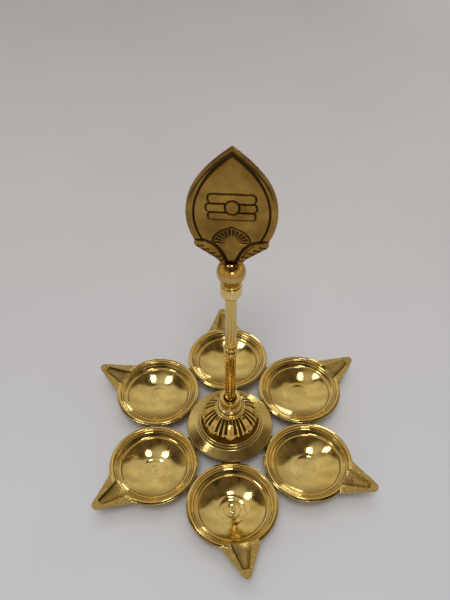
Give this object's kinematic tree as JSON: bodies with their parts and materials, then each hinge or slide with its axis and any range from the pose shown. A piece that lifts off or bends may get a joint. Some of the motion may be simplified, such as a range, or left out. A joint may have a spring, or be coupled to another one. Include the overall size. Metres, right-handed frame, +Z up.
{
  "type": "standing oil lamp",
  "caption": "Standing brass oil lamp: a ring of spouted wick cups brazed round a fluted pedestal, with a screwed rod stem, ball and flat spear-leaf finial.",
  "frame": {"origin": "on the stem's axis, at the surface the six cups stand on", "axes": "+Z up along the stem, -Y towards the front of the leaf and the front cup, +X to the right"},
  "size_m": [0.1599, 0.1812, 0.2088],
  "materials": {
    "cup_brass": "polished, turned",
    "chased_brass": "polished ribs with dark flutes",
    "rod_brass": "drawn and polished",
    "polished_brass": "mirror polished",
    "antique_brass": "antiqued, dark in the grooves",
    "aged_brass": "plain, dull",
    "braze": "dark brazed seam"
  },
  "bodies": {
    "base": {"cup_front": "cup_brass", "cup_front_right": "cup_brass", "cup_back_right": "cup_brass", "cup_back": "cup_brass", "cup_back_left": "cup_brass", "cup_front_left": "cup_brass", "base_disc": "cup_brass", "lotus_dome": "chased_brass", "neck_collar": "cup_brass", "base_washer": "aged_brass", "base_nut": "aged_brass", "cup_brazes": "braze", "disc_brazes": "braze"},
    "lower_stem": {"lower_rod": "rod_brass", "coupling_ring": "rod_brass", "coupling_stud": "aged_brass"},
    "upper_stem": {"upper_rod": "rod_brass"},
    "finial": {"finial_socket": "rod_brass", "finial_ball": "polished_brass", "finial_leaf": "antique_brass"}
  },
  "joints": [
    {"name": "lower_rod_unscrew", "type": "hinge", "parent": "base", "child": "lower_stem", "pos_m": [0, 0, 0.04], "axis": [0, 0, 1], "range_deg": [0, 360]},
    {"name": "upper_rod_unscrew", "type": "hinge", "parent": "lower_stem", "child": "upper_stem", "pos_m": [0, 0, 0.09], "axis": [0, 0, 1], "range_deg": [0, 360]},
    {"name": "finial_unscrew", "type": "hinge", "parent": "upper_stem", "child": "finial", "pos_m": [0, 0, 0.13], "axis": [0, 0, 1], "range_deg": [0, 360]}
  ]
}
